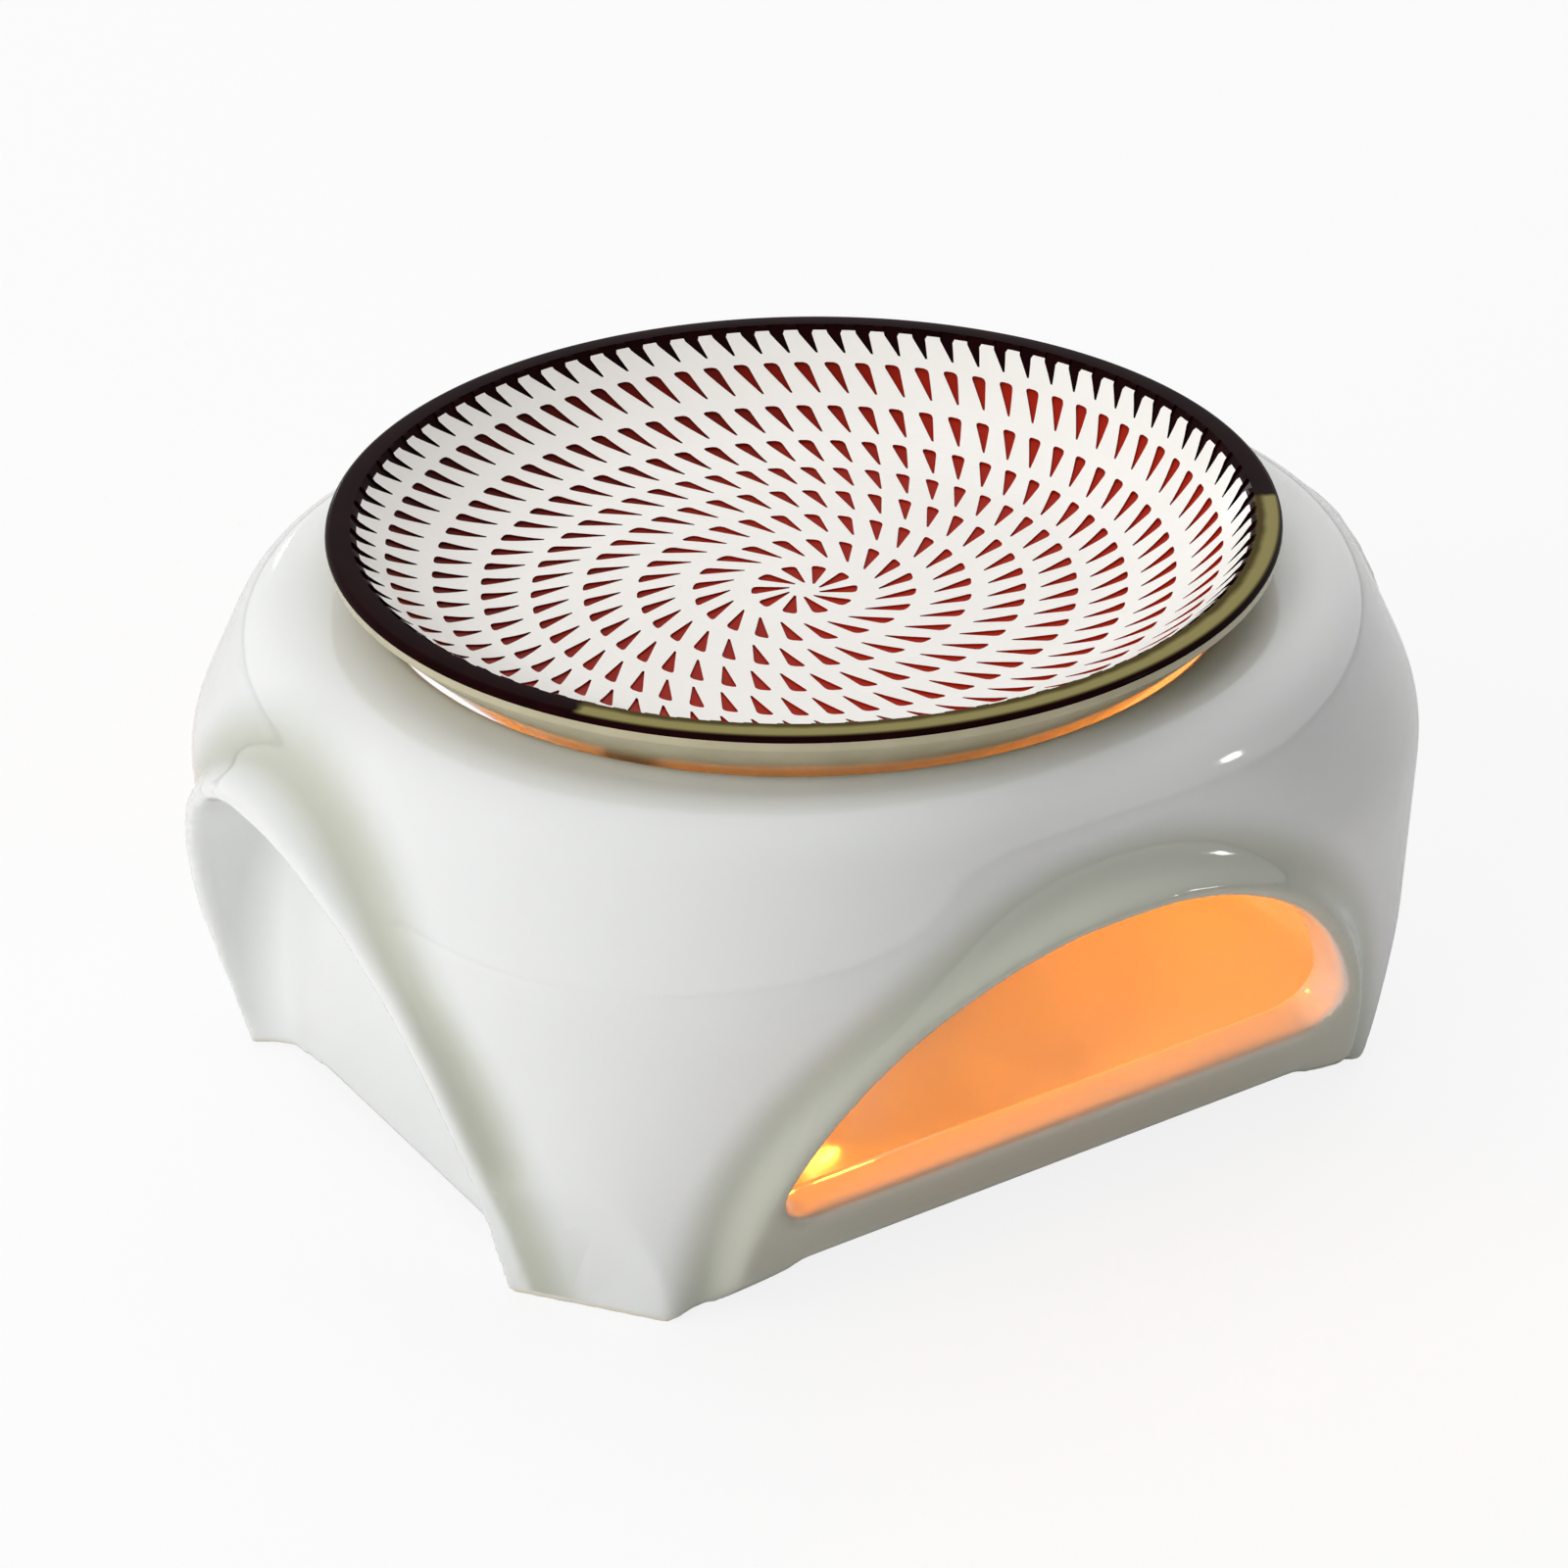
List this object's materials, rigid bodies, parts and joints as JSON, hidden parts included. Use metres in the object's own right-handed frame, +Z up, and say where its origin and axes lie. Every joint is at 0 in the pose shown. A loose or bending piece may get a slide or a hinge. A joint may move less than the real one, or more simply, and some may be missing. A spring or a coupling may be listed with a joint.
{
  "type": "wax melt warmer",
  "caption": "Oval porcelain warmer on low corner feet, with arched candle windows, blind hand niches and a loose shallow dish that a tealight heats from below.",
  "frame": {"origin": "on the surface the warmer stands on, below the centre of the dish", "axes": "+Z up; the windows face -Y and +Y; the hand niches face -X and +X, along the longer side"},
  "size_m": [0.139, 0.1236, 0.0638],
  "materials": {
    "porcelain": "clear gloss glaze over white porcelain",
    "iron_glaze": "dark iron glaze with white slip and chatter marks",
    "aluminium_foil": "pressed thin sheet",
    "paraffin": "smooth wax",
    "tin_plate": "stamped",
    "cotton": "charred braid"
  },
  "bodies": {
    "body": {"body": "porcelain"},
    "dish": {"dish": "iron_glaze"},
    "tealight": {"tealight_cup": "aluminium_foil", "tealight_wax": "paraffin", "wick_sustainer": "tin_plate", "wick": "cotton"}
  },
  "joints": [
    {"name": "dish_lift", "type": "slide", "parent": "body", "child": "dish", "axis": [0, 0, 1], "range_m": [0, 0.06]},
    {"name": "tealight_slide", "type": "slide", "parent": "body", "child": "tealight", "axis": [0, -0.9724, 0.2334], "range_m": [0, 0.09]}
  ]
}
